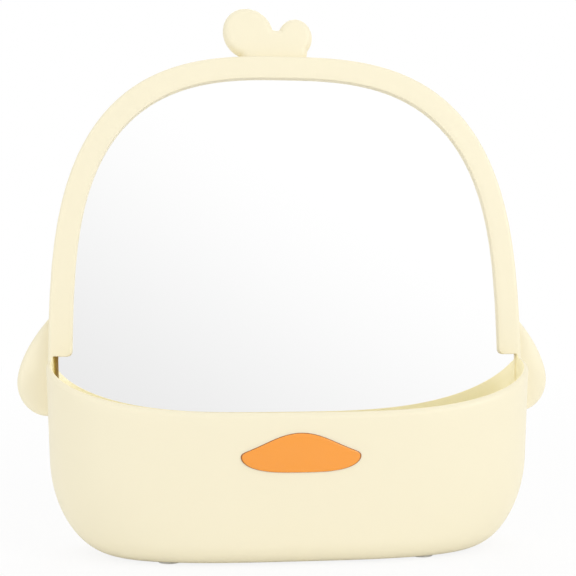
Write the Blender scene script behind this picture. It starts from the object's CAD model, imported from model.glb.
from math import asin, atan2, cos, degrees, pi, radians, sin, tan

import bmesh
import bpy
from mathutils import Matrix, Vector


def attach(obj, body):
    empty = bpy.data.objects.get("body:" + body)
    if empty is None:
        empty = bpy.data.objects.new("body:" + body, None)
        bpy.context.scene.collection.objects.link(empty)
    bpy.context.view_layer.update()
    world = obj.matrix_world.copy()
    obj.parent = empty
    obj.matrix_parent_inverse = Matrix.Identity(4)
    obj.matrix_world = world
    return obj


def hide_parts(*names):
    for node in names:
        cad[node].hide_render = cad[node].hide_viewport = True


# Desk mirror with an open storage bin, photographed in a white room.
# Metres, the front faces -Y and up is +Z. Sizes below are written in millimetres times mm.
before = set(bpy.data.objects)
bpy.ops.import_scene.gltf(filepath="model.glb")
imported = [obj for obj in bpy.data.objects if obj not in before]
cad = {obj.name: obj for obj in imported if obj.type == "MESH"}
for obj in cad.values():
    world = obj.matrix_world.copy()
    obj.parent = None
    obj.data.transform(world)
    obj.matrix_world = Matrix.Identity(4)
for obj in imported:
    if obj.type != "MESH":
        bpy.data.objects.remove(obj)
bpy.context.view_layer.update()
mm = 0.001
scene = bpy.context.scene


# Camera. The photograph was taken level with the middle of the mirror, half a metre in front of it
# and a little to the left, so that it shows the inside of the bin's right end.
waist_level = Vector((0, 7.1, 86.2)) * mm        # the frame's front at its widest level
eye = waist_level + Vector((-49.78, -481.87, 30.70)) * mm
turned_right = radians(5.781)
turned_up = radians(0.322)
focal_px = 1025.26
image_px = 576

camera_data = bpy.data.cameras.new("camera")
camera = bpy.data.objects.new("camera", camera_data)
scene.collection.objects.link(camera)
camera.location = eye
camera.rotation_euler = (pi / 2 + turned_up, 0, -turned_right)
camera_data.sensor_width = 36
camera_data.lens = camera_data.sensor_width * focal_px / image_px
camera_data.clip_start = 0.01
scene.camera = camera


# Room. White walls all round give an even light, a little brighter from the upper right, where the
# window is; the mirror shows them as a soft grey that turns to white.
wall_light = 0.95
darkest_wall = 0.80              # the walls as the mirror shows them
brightest_wall = 1.02
window_direction = (0.62, 0.0, 1.0)
wall_turns = (-0.06, 0.42)       # how far towards the window the grey starts and ends to turn white

scene.view_settings.view_transform = "Standard"
world = bpy.data.worlds.new("white_room")
scene.world = world
world.use_nodes = True
tree = world.node_tree
tree.nodes.clear()
world_out = tree.nodes.new("ShaderNodeOutputWorld")
even = tree.nodes.new("ShaderNodeBackground")
even.inputs["Strength"].default_value = wall_light
backdrop = tree.nodes.new("ShaderNodeBackground")
backdrop.inputs["Color"].default_value = (1, 1, 1, 1)
mirrored = tree.nodes.new("ShaderNodeBackground")
toward = tree.nodes.new("ShaderNodeTexCoord")
window_side = tree.nodes.new("ShaderNodeVectorMath")
window_side.operation = "DOT_PRODUCT"
window_side.inputs[1].default_value = window_direction
wall_shade = tree.nodes.new("ShaderNodeMapRange")
wall_shade.interpolation_type = "SMOOTHSTEP"
wall_shade.inputs["From Min"].default_value = wall_turns[0]
wall_shade.inputs["From Max"].default_value = wall_turns[1]
wall_shade.inputs["To Min"].default_value = darkest_wall
wall_shade.inputs["To Max"].default_value = brightest_wall
wall_tint = tree.nodes.new("ShaderNodeCombineColor")
seen = tree.nodes.new("ShaderNodeLightPath")
glossy_or_clear = tree.nodes.new("ShaderNodeMath")
glossy_or_clear.operation = "MAXIMUM"
with_mirror = tree.nodes.new("ShaderNodeMixShader")
with_backdrop = tree.nodes.new("ShaderNodeMixShader")
tree.links.new(toward.outputs["Generated"], window_side.inputs[0])
tree.links.new(window_side.outputs["Value"], wall_shade.inputs["Value"])
for channel in ("Red", "Green", "Blue"):
    tree.links.new(wall_shade.outputs["Result"], wall_tint.inputs[channel])
tree.links.new(wall_tint.outputs["Color"], mirrored.inputs["Color"])
tree.links.new(seen.outputs["Is Glossy Ray"], glossy_or_clear.inputs[0])
tree.links.new(seen.outputs["Is Transmission Ray"], glossy_or_clear.inputs[1])
tree.links.new(glossy_or_clear.outputs[0], with_mirror.inputs["Fac"])
tree.links.new(even.outputs[0], with_mirror.inputs[1])
tree.links.new(mirrored.outputs[0], with_mirror.inputs[2])
tree.links.new(seen.outputs["Is Camera Ray"], with_backdrop.inputs["Fac"])
tree.links.new(with_mirror.outputs[0], with_backdrop.inputs[1])
tree.links.new(backdrop.outputs[0], with_backdrop.inputs[2])
tree.links.new(with_backdrop.outputs[0], world_out.inputs["Surface"])


def soft_lamp(name, place, across, power):
    """Round soft box, this wide and of this power in watts, that looks at the middle of the mirror."""
    data = bpy.data.lights.new(name, "AREA")
    data.shape = "DISK"
    data.size = across
    data.energy = power
    lamp = bpy.data.objects.new(name, data)
    scene.collection.objects.link(lamp)
    lamp.location = place
    mirror_middle = Vector((0, 0, 0.12))
    lamp.rotation_euler = (mirror_middle - Vector(place)).to_track_quat("-Z", "Y").to_euler()


soft_lamp("window_lamp", (1.2, -1.0, 0.9), 1.0, 7)
soft_lamp("left_lamp", (-1.2, -1.1, 0.6), 1.2, 4)
soft_lamp("back_lamp", (0.2, 1.3, 1.1), 1.2, 4)


# Floor. A plain matt white table, which carries the object's soft shadow. Near the object most of
# what the camera sees is the table's own white; from white_by on it is all of it.
floor_size = 12.0
table_white = 0.95
own_white = 0.86                 # that share near the object
white_from = 0.30                # distances from the object
white_by = 1.20

floor_mesh = bmesh.new()
bmesh.ops.create_grid(floor_mesh, x_segments=1, y_segments=1, size=floor_size / 2)
floor_data = bpy.data.meshes.new("floor")
floor_mesh.to_mesh(floor_data)
floor_mesh.free()
floor = bpy.data.objects.new("floor", floor_data)
scene.collection.objects.link(floor)
table_paint = bpy.data.materials.new("table_white")
table_paint.use_nodes = True
tree = table_paint.node_tree
table_surface = tree.nodes["Principled BSDF"]
table_surface.inputs["Base Color"].default_value = (table_white, table_white, table_white, 1)
table_surface.inputs["Roughness"].default_value = 0.9
table_surface.inputs["Specular IOR Level"].default_value = 0.0
white = tree.nodes.new("ShaderNodeEmission")
seen = tree.nodes.new("ShaderNodeLightPath")
place = tree.nodes.new("ShaderNodeTexCoord")
away = tree.nodes.new("ShaderNodeVectorMath")
away.operation = "LENGTH"
whiter = tree.nodes.new("ShaderNodeMapRange")
whiter.interpolation_type = "SMOOTHSTEP"
whiter.inputs["From Min"].default_value = white_from
whiter.inputs["From Max"].default_value = white_by
whiter.inputs["To Min"].default_value = own_white
whiter.inputs["To Max"].default_value = 1.0
share = tree.nodes.new("ShaderNodeMath")
share.operation = "MULTIPLY"
mix = tree.nodes.new("ShaderNodeMixShader")
tree.links.new(place.outputs["Object"], away.inputs[0])
tree.links.new(away.outputs["Value"], whiter.inputs["Value"])
tree.links.new(whiter.outputs["Result"], share.inputs[1])
tree.links.new(seen.outputs["Is Camera Ray"], share.inputs[0])
tree.links.new(share.outputs[0], mix.inputs["Fac"])
tree.links.new(table_surface.outputs[0], mix.inputs[1])
tree.links.new(white.outputs[0], mix.inputs[2])
tree.links.new(mix.outputs[0], tree.nodes["Material Output"].inputs["Surface"])
floor_data.materials.append(table_paint)


# Front shell. Frame, bin and the band in front of the mirror are one injection moulding in satin
# cream plastic. Its edges are soft, and the bin's rim runs up into the sides of the frame.
waist_half = 112.5 * mm          # half the width at the widest level
waist_rise = 85.4 * mm           # that level above the underside
arch_rise = 147.0 * mm
arch_power = (2.87, 3.02)        # squareness of the arch, across and upwards
window_power = (2.83, 3.23)
lean = radians(6.4)
case_depth = 15.0 * mm
wall = 2.4 * mm
band_wide = 11.0 * mm
band_thick = 2.2 * mm
band_end = 1.8 * mm              # lower ends of the band above the widest level
band_corner = 2.4 * mm
outer_round = 1.5 * mm           # roundings of the wall's outer and inner edge and of the window's
inner_round = 0.7 * mm
band_round = 0.4 * mm
even_rise = 40 * mm              # up to here the arch's inner lines nearly keep the outer one's levels
bin_front = 47.0 * mm            # how far the bin stands in front of the frame
bin_power = (3.3, 2.64)          # squareness of the bin's plan, across and forwards
behind_step = 1.5 * mm           # length of one degree of turn along the side behind the frame's front
side_taper = 3.6 * mm
corner_wide = 28.8 * mm          # lower corners, and the lower front edge
corner_high = 41.4 * mm
toe_round = 10.0 * mm
base_flat = 0.976                # part of these roundings that is left above the flat base
rim_level = 4.0 * mm             # the rim stays level this far in front of the frame
rim_end = 0.8 * mm               # its level there, below the widest level
rim_fall = 0.203                 # slope with which it then starts to run down
rim_curl = 6.5                   # how much the slope grows towards the front, per metre
rim_soft = 2.0 * mm              # half the length of the rounding between the two
rim_corner = 2.4 * mm            # rounding where the rim meets the frame
base_z = 0.8 * mm
bin_floor_z = base_z + wall
waist_y, waist_z = waist_level.y, waist_level.z
band_end_z = waist_z + band_end
cream = (0.925, 0.855, 0.640)


def front_plane(z, depth=0.0):
    """Y of the leaning plane that lies depth behind the frame's front."""
    return waist_y + (z - waist_z) * tan(lean) + depth / cos(lean)


def corner_in(rise, high, wide, inset):
    """How far a rounded lower corner has drawn in at this rise above the underside."""
    left = min(1.0, max(0.0, (high * base_flat - rise) / (high - inset)))
    return (wide - inset) * (1 - (1 - left * left) ** 0.5)


def side_half(z):
    """Half the width at height z, without the rounded lower corners; the sides draw in downwards."""
    return waist_half - side_taper * max(0.0, 1 - (z - base_z) / waist_rise)


def bin_plan(turn, z, inset):
    """Point of the bin's wall. The turn is 0 where its side starts to curve and 90 at its front."""
    rise = z - base_z
    half = side_half(z) - inset - corner_in(rise, corner_high, corner_wide, inset)
    reach = bin_front - inset - corner_in(rise, toe_round, toe_round, inset)
    if turn <= 0:
        return Vector((half, waist_y - turn * behind_step, z))
    across, ahead = cos(radians(turn)), sin(radians(turn))
    x = half * across ** (2 / bin_power[0])
    return Vector((x, waist_y - reach * ahead ** (2 / bin_power[1]), z))


def turn_at(y, z, inset):
    """Turn at which the bin's wall passes this y."""
    ahead = waist_y - y
    if ahead <= 0:
        return ahead / behind_step
    reach = bin_front - inset - corner_in(z - base_z, toe_round, toe_round, inset)
    return degrees(asin(min(1.0, ahead / reach) ** (bin_power[1] / 2)))


def rim_height(y):
    """Height of the bin's rim: level along the sides, then down to the front."""
    past = waist_y - y - rim_level
    if past < -rim_soft:
        drop = 0.0
    elif past < rim_soft:
        drop = rim_fall * (past + rim_soft) ** 2 / (4 * rim_soft)
    else:
        drop = rim_fall * past + rim_curl * past ** 2
    return waist_z - rim_end - drop


# The wall's rounded top: how far each step lies inside the wall's outer face, and below the top
four_steps = (0, pi / 8, pi / 4, 3 * pi / 8, pi / 2)
three_steps = (0, pi / 6, pi / 3, pi / 2)
rounding = [(outer_round * (1 - cos(a)), outer_round * (1 - sin(a))) for a in four_steps]
inward = [(sin(a), 1 - cos(a)) for a in three_steps]
wall_steps = 30
wall_bunching = 1.7              # how much closer together its points are near the base
# Depths behind the frame's front at which its side wall has points, outside and inside
rear_outer = (outer_round, 3.0 * mm, 6.0 * mm, 10.5 * mm, case_depth)
rear_inner = (0.0, band_thick, 6.0 * mm, 10.5 * mm, case_depth)


def wall_levels(low, top):
    """Heights up the bin's wall, closer together in the rounded lower corners."""
    return [low + (top - low) * (i / wall_steps) ** wall_bunching for i in range(wall_steps + 1)]


def wall_column(share, low, top, inset, frame_depth):
    """Points up the bin's wall, at a share of the way from the frame to the middle of the front."""
    points = []
    for z in wall_levels(low, top):
        start = turn_at(front_plane(z, frame_depth), z, inset)
        points.append(bin_plan(start + (90 - start) * share, z, inset))
    return points


def share_at(turn, z, inset, frame_depth):
    """That share of the way for a turn at height z."""
    start = turn_at(front_plane(z, frame_depth), z, inset)
    return max(0.0, (turn - start) / (90 - start))


def bin_section(rim_y, rim_z, facing, soft):
    """Points from the bin's base up its outside, over the rim and down its inside to the floor.

    The rim's top faces up, or in the corner at the frame along facing, in the side view.
    """
    outer_turn = turn_at(rim_y, rim_z, 0)
    rim = []
    steps = rounding + [(wall - soft + soft * across, soft * down) for across, down in inward]
    for inside, down in steps:
        point = bin_plan(outer_turn, rim_z, 0).lerp(bin_plan(outer_turn, rim_z, wall), inside / wall)
        if facing is None:
            point.z = rim_height(point.y) - down
        else:
            point.y = rim_y - facing[0] * down
            point.z = rim_z - facing[1] * down
        rim.append(point)
    outer_top, inner_top = rim[0], rim[-1]
    outer_share = share_at(turn_at(outer_top.y, outer_top.z, 0), outer_top.z, 0, outer_round)
    inner_share = share_at(turn_at(inner_top.y, inner_top.z, wall), inner_top.z, wall, 0.0)
    outside = wall_column(outer_share, base_z, outer_top.z, 0, outer_round)
    inside = wall_column(inner_share, bin_floor_z, inner_top.z, wall, 0.0)
    return outside[:-1] + rim + inside[-2::-1]


def laid_out(bm, columns):
    """Sheet of faces that takes its points from a list of equally long columns."""
    long = len(columns[0])
    made = bmesh.ops.create_grid(bm, x_segments=len(columns) - 1, y_segments=long - 1, size=1)
    corners = sorted(made["verts"], key=lambda v: (round(v.co.x, 6), round(v.co.y, 6)))
    for i, vert in enumerate(corners):
        vert.co = columns[i // long][i % long]
    return corners


shell = bmesh.new()

# The bin: columns round the rim's corner at the frame, then round to the middle of the front,
# closer together at both ends
corner_turns = (radians(15), radians(37), radians(60))
bin_steps = 96
even_share = 0.2
corner_y = waist_y - rim_corner
corner_z = rim_height(corner_y) + rim_corner
sections = [bin_section(front_plane(band_end_z), band_end_z, (-1, 0), 0.0)]
for angle in corner_turns:
    rim_y = corner_y + rim_corner * cos(angle)
    rim_z = corner_z - rim_corner * sin(angle)
    sections.append(bin_section(rim_y, rim_z, (-cos(angle), sin(angle)), inner_round))
first_turn = turn_at(corner_y, rim_height(corner_y), 0)
for i in range(bin_steps + 1):
    along = i / bin_steps
    along = even_share * along + (1 - even_share) * (3 * along ** 2 - 2 * along ** 3)
    turn = first_turn + (90 - first_turn) * along
    rim_y = bin_plan(turn, rim_height(corner_y), 0).y
    sections.append(bin_section(rim_y, rim_height(rim_y), None, inner_round))
laid_out(shell, sections)

# The bin's sides behind the frame's front, and their rear ends
strips = {}
for depths, low, inset in ((rear_outer, base_z, 0), (rear_inner, bin_floor_z, wall)):
    levels = wall_levels(low, band_end_z)
    for depth in depths:
        turns = [turn_at(front_plane(z, depth), z, inset) for z in levels]
        strips[inset, depth] = [bin_plan(turn, z, inset) for turn, z in zip(turns, levels)]
    laid_out(shell, [strips[inset, depth] for depth in depths])
laid_out(shell, [strips[0, case_depth], strips[wall, case_depth]])


def arch_point(angle, inset, power):
    """Point of the arch in the front view: 0 degrees is the side, 90 is the top."""
    across, up = cos(radians(angle)), sin(radians(angle))
    rise = (arch_rise - inset) * up ** (2 / power[1])
    outer_rise = arch_rise * up ** (2 / arch_power[1])
    if outer_rise < even_rise:
        rise = outer_rise * (1 - inset / arch_rise * outer_rise / even_rise)
        across = (1 - (rise / (arch_rise - inset)) ** power[1]) ** (1 / power[0])
        return (waist_half - inset) * across, rise
    return (waist_half - inset) * across ** (2 / power[0]), rise


def band_point(angle, inset, depth):
    """Point of the frame, this far in from its outline and behind its front."""
    if inset <= wall:
        across, rise = arch_point(angle, inset, arch_power)
    else:
        outer_across, outer_rise = arch_point(angle, wall, arch_power)
        edge = band_wide
        if outer_rise < band_end + band_corner:
            up = band_end + band_corner - outer_rise
            edge -= band_corner - max(0.0, band_corner ** 2 - up ** 2) ** 0.5
        inner_across, inner_rise = arch_point(angle, edge, window_power)
        share = (inset - wall) / (band_wide - wall)
        across = outer_across + (inner_across - outer_across) * share
        rise = outer_rise + (inner_rise - outer_rise) * share
        if outer_rise < band_end + band_corner:
            rise = outer_rise
    z = waist_z + rise
    return Vector((across, front_plane(z, depth), z))


def arch_angle(rise):
    """Angle at which the arch's outline is this high above the widest level."""
    return degrees(asin((rise / arch_rise) ** (arch_power[1] / 2)))


# The frame: the same rounded wall, with the band that holds the mirror. Its section runs from the
# rear edge round the front and back, in steps inwards from the outline and behind the front.
front_insets = (wall, 5.2 * mm, 8.0 * mm)
back_insets = (6.5 * mm, wall)
edge_steps = [(band_wide - band_round * (1 - sin(a)), band_round * (1 - cos(a))) for a in three_steps]
section = [(0, depth) for depth in reversed(rear_outer[1:])]
section += rounding
section += [(inset, 0) for inset in front_insets]
section += edge_steps
section += [(inset, band_thick) for inset in (band_wide, *back_insets)]
section += [(wall, depth) for depth in rear_inner[2:]]
section += [(0, case_depth)]
arch_steps = 32
arch_even = 0.45                 # above 30 mm the steps get smaller towards the top
low_rises = [rise * mm for rise in (1.8, 2.05, 2.5, 3.2, 4.2, 7.0, 12.0, 20.0, 30.0)]
angles = [arch_angle(rise) for rise in low_rises]
low_end = angles[-1]
for i in range(1, arch_steps + 1):
    along = i / arch_steps
    along = arch_even * along + (1 - arch_even) * (1 - (1 - along) ** 2)
    angles.append(low_end + (90 - low_end) * along)
frame_rows = [[band_point(angle, inset, depth) for inset, depth in section] for angle in angles]
corners = laid_out(shell, frame_rows)
first = section.index((wall, 0))
last = section.index((wall, band_thick))
shell.faces.new(corners[first:last + 1])

# The other half, and the base with its upper face, the bin's floor
bmesh.ops.remove_doubles(shell, verts=shell.verts, dist=0.03 * mm)
everything = shell.verts[:] + shell.edges[:] + shell.faces[:]
bmesh.ops.mirror(shell, geom=everything, merge_dist=0.02 * mm, axis="X")
bmesh.ops.remove_doubles(shell, verts=shell.verts, dist=0.02 * mm)
floor_middle_y = -20 * mm        # the points of both outlines are counted round this one
rear_corners = []
for level in (base_z, bin_floor_z):
    ring = [v for v in shell.verts if v.is_boundary and abs(v.co.z - level) < 0.01 * mm]
    ring.sort(key=lambda v: atan2(v.co.x, floor_middle_y - v.co.y))
    shell.faces.new(ring)
    rear_corners += [ring[0], ring[-1]]
shell.faces.new([rear_corners[i] for i in (0, 1, 3, 2)])

# The sill that carries the mirror's lower edge, with a low lip in front of it
sill_half = 76.0 * mm
glass_low = bin_floor_z + 6.0 * mm
sill_top = glass_low + 3.5 * mm
sill_front = 0.5 * mm            # depths behind the frame's front
lip_back = 2.1 * mm
sill_back = 4.4 * mm
ledge_z = glass_low - 0.05 * mm
sill_root = bin_floor_z - 1 * mm
sill_side = [
    (front_plane(bin_floor_z, sill_front), sill_root),
    (front_plane(sill_top, sill_front), sill_top),
    (front_plane(sill_top, lip_back), sill_top),
    (front_plane(glass_low, lip_back), ledge_z),
    (front_plane(glass_low, sill_back), ledge_z),
    (front_plane(bin_floor_z, sill_back), sill_root),
]
end_face = shell.faces.new([shell.verts.new((-sill_half, y, z)) for y, z in sill_side])
pulled = bmesh.ops.extrude_face_region(shell, geom=[end_face])
far_end = [item for item in pulled["geom"] if isinstance(item, bmesh.types.BMVert)]
bmesh.ops.translate(shell, verts=far_end, vec=(2 * sill_half, 0, 0))
bmesh.ops.recalc_face_normals(shell, faces=shell.faces)


def finished(bm, name, material, node):
    """Object of a finished mesh, which stands for a CAD node. Edges over 40 degrees stay sharp."""
    data = bpy.data.meshes.new(name)
    for face in bm.faces:
        face.smooth = True
    bm.to_mesh(data)
    bm.free()
    data.set_sharp_from_angle(angle=radians(40))
    data.materials.append(material)
    piece = bpy.data.objects.new(name, data)
    scene.collection.objects.link(piece)
    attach(piece, "root")
    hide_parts(node)
    return piece


def fine_grained(name, colour, roughness, grain, grain_height, mottle):
    """Surface with a fine grain, slightly uneven gloss and a faint mottle in its colour.

    The grain is given by its width, and the mottle is the share by which the colour varies. The
    zinc, the foam and the rubber use it too.
    """
    clouds_per_metre = 14
    uneven_gloss = 0.05
    material = bpy.data.materials.new(name)
    material.use_nodes = True
    tree = material.node_tree
    surface = tree.nodes["Principled BSDF"]
    place = tree.nodes.new("ShaderNodeTexCoord")
    clouds = tree.nodes.new("ShaderNodeTexNoise")
    clouds.inputs["Scale"].default_value = clouds_per_metre
    clouds.inputs["Detail"].default_value = 3
    tint = tree.nodes.new("ShaderNodeMix")
    tint.data_type = "RGBA"
    tint.inputs["A"].default_value = (*[c * (1 - mottle) for c in colour], 1)
    tint.inputs["B"].default_value = (*[min(1, c * (1 + mottle)) for c in colour], 1)
    gloss = tree.nodes.new("ShaderNodeMapRange")
    gloss.inputs["To Min"].default_value = roughness - uneven_gloss
    gloss.inputs["To Max"].default_value = roughness + uneven_gloss
    specks = tree.nodes.new("ShaderNodeTexNoise")
    specks.inputs["Scale"].default_value = 1 / grain
    specks.inputs["Detail"].default_value = 2
    bump = tree.nodes.new("ShaderNodeBump")
    bump.inputs["Strength"].default_value = 1.0
    bump.inputs["Distance"].default_value = grain_height
    tree.links.new(place.outputs["Object"], clouds.inputs["Vector"])
    tree.links.new(place.outputs["Object"], specks.inputs["Vector"])
    tree.links.new(clouds.outputs["Fac"], tint.inputs["Factor"])
    tree.links.new(tint.outputs["Result"], surface.inputs["Base Color"])
    tree.links.new(clouds.outputs["Fac"], gloss.inputs["Value"])
    tree.links.new(gloss.outputs["Result"], surface.inputs["Roughness"])
    tree.links.new(specks.outputs["Fac"], bump.inputs["Height"])
    tree.links.new(bump.outputs["Normal"], surface.inputs["Normal"])
    return material


cream_plastic = fine_grained("cream_plastic", cream, roughness=0.42, grain=0.5 * mm,
                             grain_height=0.006 * mm, mottle=0.008)
front_shell = finished(shell, "front_shell_moulding", cream_plastic, "front_shell")

# Daylight comes through the bin's thin wall and makes its inside look golden. The floor lies in
# shade; the glow grows up to glow_rise above it.
golden = (1.0, 0.84, 0.03)
glow_strength = 0.13
glow_rise = 30 * mm
glow_back = 6 * mm               # it ends this far behind the frame's front,
glow_top = waist_z + 1 * mm      # at this height
glow_edge = 1.02                 # and just outside the wall's inner face, which is 1 in the plan
shell_data = front_shell.data
inside = shell_data.attributes.new("inside_bin", "FLOAT", "POINT")
for vert, lit in zip(shell_data.vertices, inside.data):
    x, y, z = vert.co
    rise = z - base_z
    half = side_half(z) - wall - corner_in(rise, corner_high, corner_wide, wall)
    reach = bin_front - wall - corner_in(rise, toe_round, toe_round, wall)
    ahead = waist_y - y
    plan = (abs(x) / half) ** bin_power[0] + (max(0.0, ahead) / reach) ** bin_power[1]
    in_bin = plan < glow_edge and ahead > -glow_back and bin_floor_z < z < glow_top
    lit.value = min(1.0, (z - bin_floor_z) / glow_rise) if in_bin else 0.0
tree = cream_plastic.node_tree
surface = tree.nodes["Principled BSDF"]
surface.inputs["Emission Color"].default_value = (*golden, 1)
lit_inside = tree.nodes.new("ShaderNodeAttribute")
lit_inside.attribute_name = "inside_bin"
glow = tree.nodes.new("ShaderNodeMath")
glow.operation = "MULTIPLY"
glow.inputs[1].default_value = glow_strength
tree.links.new(lit_inside.outputs["Fac"], glow.inputs[0])
tree.links.new(glow.outputs[0], surface.inputs["Emission Strength"])
soft_edge = front_shell.modifiers.new("soft_edges", "BEVEL")
soft_edge.width = 0.25 * mm
soft_edge.segments = 2
soft_edge.limit_method = "ANGLE"
soft_edge.angle_limit = radians(50)


def dress(node, material):
    """Gives a CAD node its finish."""
    data = cad[node].data
    data.materials.clear()
    data.materials.append(material)


# Mirror pane. 2 mm float glass, silvered on its back, with a ground edge that looks golden brown in
# the gap beside the frame. It stands on the sill and is pressed against the band from behind.
pane_facing = (0, -cos(lean), sin(lean))
edge_from = 0.7                  # faces turned further away than this cosine belong to the edge
silvered = bpy.data.materials.new("silvered_glass")
silvered.use_nodes = True
tree = silvered.node_tree
surface = tree.nodes["Principled BSDF"]
surface.inputs["Metallic"].default_value = 1.0
surface.inputs["Roughness"].default_value = 0.0
surface.inputs["Base Color"].default_value = (0.985, 0.985, 0.985, 1)
edge_glass = tree.nodes.new("ShaderNodeBsdfPrincipled")
edge_glass.inputs["Base Color"].default_value = (0.62, 0.50, 0.26, 1)
edge_glass.inputs["Emission Color"].default_value = (0.55, 0.38, 0.12, 1)
edge_glass.inputs["Emission Strength"].default_value = 0.30
edge_glass.inputs["Roughness"].default_value = 0.35
place = tree.nodes.new("ShaderNodeTexCoord")
facing = tree.nodes.new("ShaderNodeVectorMath")
facing.operation = "DOT_PRODUCT"
facing.inputs[1].default_value = pane_facing
is_edge = tree.nodes.new("ShaderNodeMath")
is_edge.operation = "LESS_THAN"
is_edge.inputs[1].default_value = edge_from
both = tree.nodes.new("ShaderNodeMixShader")
tree.links.new(place.outputs["Normal"], facing.inputs[0])
tree.links.new(facing.outputs["Value"], is_edge.inputs[0])
tree.links.new(is_edge.outputs[0], both.inputs["Fac"])
tree.links.new(surface.outputs[0], both.inputs[1])
tree.links.new(edge_glass.outputs[0], both.inputs[2])
tree.links.new(both.outputs[0], tree.nodes["Material Output"].inputs["Surface"])
dress("mirror_pane", silvered)


# Foam strips. Soft grey open-cell tape, stuck to the ribs of the back cover. It presses the pane
# against the band without a rattle.
foam_grey = fine_grained("foam_grey", (0.28, 0.28, 0.29), roughness=0.9, grain=0.8 * mm,
                         grain_height=0.25 * mm, mottle=0.25)
for side in ("left", "middle", "right"):
    dress("foam_strip_" + side, foam_grey)


# Back cover. Moulded in the same cream plastic as the shell, with a hollow foot that keeps the
# mirror from tipping back. It is hooked in above and screwed on from below.
dress("back_cover", cream_plastic)


# Screws. Zinc-plated steel, one in the middle and one near each end of the base. They go through
# the shell's base into bosses of the back cover.
zinc = fine_grained("zinc_steel", (0.62, 0.62, 0.60), roughness=0.32, grain=0.4 * mm,
                    grain_height=0.004 * mm, mottle=0.08)
zinc.node_tree.nodes["Principled BSDF"].inputs["Metallic"].default_value = 1.0
dress("base_screws", zinc)


# Pads. Soft grey-white rubber discs, glued into shallow rounds under the bin and the foot, so that
# the mirror doesn't slide.
rubber = fine_grained("pad_rubber", (0.78, 0.77, 0.73), roughness=0.75, grain=0.5 * mm,
                      grain_height=0.03 * mm, mottle=0.04)
for pad in ("front_left", "front_right", "rear_left", "rear_right"):
    dress("pad_" + pad, rubber)


# Wings. Two plump pieces in the shell's cream plastic, flat against the sides of the frame and held
# by a key inside it. Round below, they draw out to a point along the frame above.
wing_reach = 14.8 * mm
wing_top = 20.0 * mm             # heights up the frame from its widest level
wing_tip = -10.5 * mm            # here the wing is widest
wing_low = -26.5 * mm
wing_bulge = 1.75                # how full it stays on its way up to the point
wing_plump = 7 * mm              # where it is narrower than this it gets thinner
trim_front = 6.0 * mm            # wings and tuft lie this far behind the frame's front
trim_thick = 8.0 * mm
trim_fullness = 3.4              # squareness of the wing's section
wing_gap = 0.10 * mm
wing_rows = 60
wing_points = 32


def wing_width(up):
    """Width of the wing at this height up the frame."""
    if up < wing_tip:
        return wing_reach * max(0.0, 1 - ((wing_tip - up) / (wing_tip - wing_low)) ** 2) ** 0.5
    return wing_reach * (1 - ((up - wing_tip) / (wing_top - wing_tip)) ** wing_bulge)


for side, name in ((-1, "wing_left"), (1, "wing_right")):
    wing = bmesh.new()
    rows = []
    for i in range(wing_rows + 1):
        up = wing_low + (wing_top - wing_low) * (1 - cos(pi * i / wing_rows)) / 2
        z = waist_z + up * cos(lean)
        wide = wing_width(up)
        half_thick = trim_thick / 2 * (1 - (1 - min(1.0, wide / wing_plump)) ** 2) ** 0.5
        beside = side_half(z) + wing_gap
        tip = waist_half + wing_gap + wide
        row = []
        for k in range(wing_points + 1):
            angle = pi * k / wing_points
            deep = half_thick * abs(cos(angle)) ** (2 / trim_fullness) * (-1 if angle < pi / 2 else 1)
            x = beside + (tip - beside) * max(0.0, sin(angle)) ** (2 / trim_fullness)
            row.append(Vector((side * x, front_plane(z, trim_front + trim_thick / 2 + deep), z)))
        rows.append(row)
    laid_out(wing, rows)
    bmesh.ops.remove_doubles(wing, verts=wing.verts, dist=0.02 * mm)
    rim = [edge for edge in wing.edges if edge.is_boundary]
    bmesh.ops.holes_fill(wing, edges=rim)
    bmesh.ops.recalc_face_normals(wing, faces=wing.faces)
    finished(wing, name + "_moulding", cream_plastic, name)


# Tuft. A plump plate in the shell's cream plastic, of two round puffs that flow into one another, on
# a low foot along the top of the arch. It is pressed into the frame with a key, as the wings are.
# Each puff and the foot: middle across and above the arch, half width, half height, degrees turned
tuft_puffs = (
    (-18.2, 13.6, 13.1, 12.1, -46.0),
    (5.3, 12.0, 8.5, 9.4, 0.0),
    (-5.5, 4.6, 16.8, 10.8, 0.0),
)
tuft_round = 3.4 * mm
top_z = waist_z + arch_rise
foot_z = top_z - 0.2 * mm        # the plate is cut off here

tuft = bmesh.new()
for across, above, half_wide, half_high, turned in tuft_puffs:
    disc = bmesh.ops.create_circle(tuft, cap_ends=True, cap_tris=False, segments=96, radius=1)
    turn = radians(turned)
    for vert in disc["verts"]:
        x, y = vert.co.x * half_wide, vert.co.y * half_high
        height = top_z + (above + x * sin(turn) + y * cos(turn)) * mm
        right = (across + x * cos(turn) - y * sin(turn)) * mm
        vert.co = (right, front_plane(height, trim_front), height)
    face = disc["verts"][0].link_faces[0]
    pulled = bmesh.ops.extrude_face_region(tuft, geom=[face])
    rear = [item for item in pulled["geom"] if isinstance(item, bmesh.types.BMVert)]
    bmesh.ops.translate(tuft, verts=rear, vec=(0, trim_thick * cos(lean), -trim_thick * sin(lean)))
    touching = dict.fromkeys(e for v in disc["verts"] + rear for e in v.link_edges)
    both_rims = [e for e in touching if (e.verts[0] in rear) == (e.verts[1] in rear)]
    bmesh.ops.bevel(tuft, geom=both_rims, offset=tuft_round, offset_type="OFFSET", segments=8,
                    profile=0.5, affect="EDGES", clamp_overlap=True, material=-1)
whole_tuft = tuft.verts[:] + tuft.edges[:] + tuft.faces[:]
bmesh.ops.bisect_plane(tuft, geom=whole_tuft, plane_co=(0, 0, foot_z), plane_no=(0, 0, 1),
                       clear_inner=True)
bmesh.ops.holes_fill(tuft, edges=[edge for edge in tuft.edges if edge.is_boundary])
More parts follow.
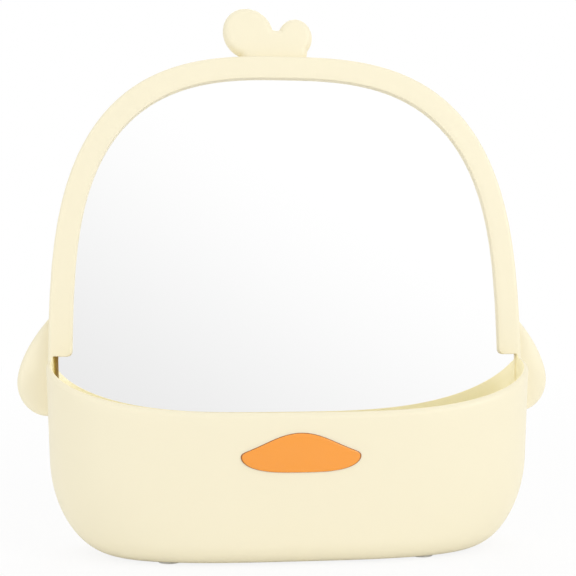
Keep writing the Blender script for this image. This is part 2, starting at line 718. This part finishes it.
bmesh.ops.recalc_face_normals(tuft, faces=tuft.faces)
tuft_piece = finished(tuft, "tuft_moulding", cream_plastic, "tuft")
fused = tuft_piece.modifiers.new("fused", "REMESH")
fused.mode = "VOXEL"
fused.voxel_size = 0.35 * mm
fused.use_smooth_shade = True
flowing = tuft_piece.modifiers.new("flowing", "SMOOTH")
flowing.factor = 0.5
flowing.iterations = 24


# Beak. A low, slightly domed plate in glossy orange plastic, pressed into a shallow recess in the
# bin's front with two pegs.
beak_half = 25.9 * mm
beak_tip_z = base_z + 46.8 * mm
beak_hump = 7.3 * mm
hump_reach = 0.95                # part of the half width that the hump takes up
hump_slope = 1.8                 # how softly it runs out on both sides
beak_end = 2.7 * mm              # height of the beak above its tips beside the hump
end_squareness = 10
beak_under = 6.9 * mm
under_squareness = 3.2
bin_front_y = waist_y - bin_front
orange = (0.95, 0.350, 0.046)
orange_in_shade = (0.30, 0.085, 0.012)
# How far out each ring of the plate lies, and how many millimetres it stands proud of the bin; the
# first ring lies at the bottom of the recess
beak_rings = (
    (1.0, -1.10),
    (1.0, 0.10),
    (0.99, 0.36),
    (0.97, 0.56),
    (0.93, 0.73),
    (0.85, 0.88),
    (0.7, 1.02),
    (0.5, 1.11),
    (0.3, 1.16),
    (0.1, 1.18),
)
shaded_rings = 3                 # the steep edge, which is in shade
beak_steps = 120


def beak_outline(angle):
    """Point of the beak's outline, counted in degrees from its right tip over the hump."""
    share = cos(radians(angle))
    if angle <= 180:
        hump = beak_hump * max(0.0, 1 - (share / hump_reach) ** 2) ** hump_slope
        height = hump + beak_end * (1 - share ** end_squareness) ** 0.5
    else:
        height = -beak_under * (1 - abs(share) ** under_squareness) ** 0.5
    return beak_half * share, beak_tip_z + height


beak = bmesh.new()
rows = []
for i in range(beak_steps + 1):
    x, z = beak_outline(i * 360 / beak_steps)
    row = []
    for share, proud in beak_rings:
        height = beak_tip_z + (z - beak_tip_z) * share
        row.append(Vector((x * share, bin_front_y - proud * mm, height)))
    rows.append(row)
in_shade = beak.verts.layers.float.new("edge_shade")
for i, vert in enumerate(laid_out(beak, rows)):
    vert[in_shade] = 1.0 if i % len(beak_rings) < shaded_rings else 0.0
bmesh.ops.remove_doubles(beak, verts=beak.verts, dist=0.01 * mm)
bmesh.ops.holes_fill(beak, edges=[edge for edge in beak.edges if edge.is_boundary])
bmesh.ops.recalc_face_normals(beak, faces=beak.faces)
beak_orange = fine_grained("beak_orange", orange, roughness=0.16, grain=0.6 * mm,
                           grain_height=0.002 * mm, mottle=0.03)
tree = beak_orange.node_tree
surface = tree.nodes["Principled BSDF"]
plain = surface.inputs["Base Color"].links[0].from_socket
shade = tree.nodes.new("ShaderNodeAttribute")
shade.attribute_name = "edge_shade"
edged = tree.nodes.new("ShaderNodeMix")
edged.data_type = "RGBA"
edged.inputs["B"].default_value = (*orange_in_shade, 1)
tree.links.new(shade.outputs["Fac"], edged.inputs["Factor"])
tree.links.new(plain, edged.inputs["A"])
tree.links.new(edged.outputs["Result"], surface.inputs["Base Color"])
finished(beak, "beak_plate", beak_orange, "beak")
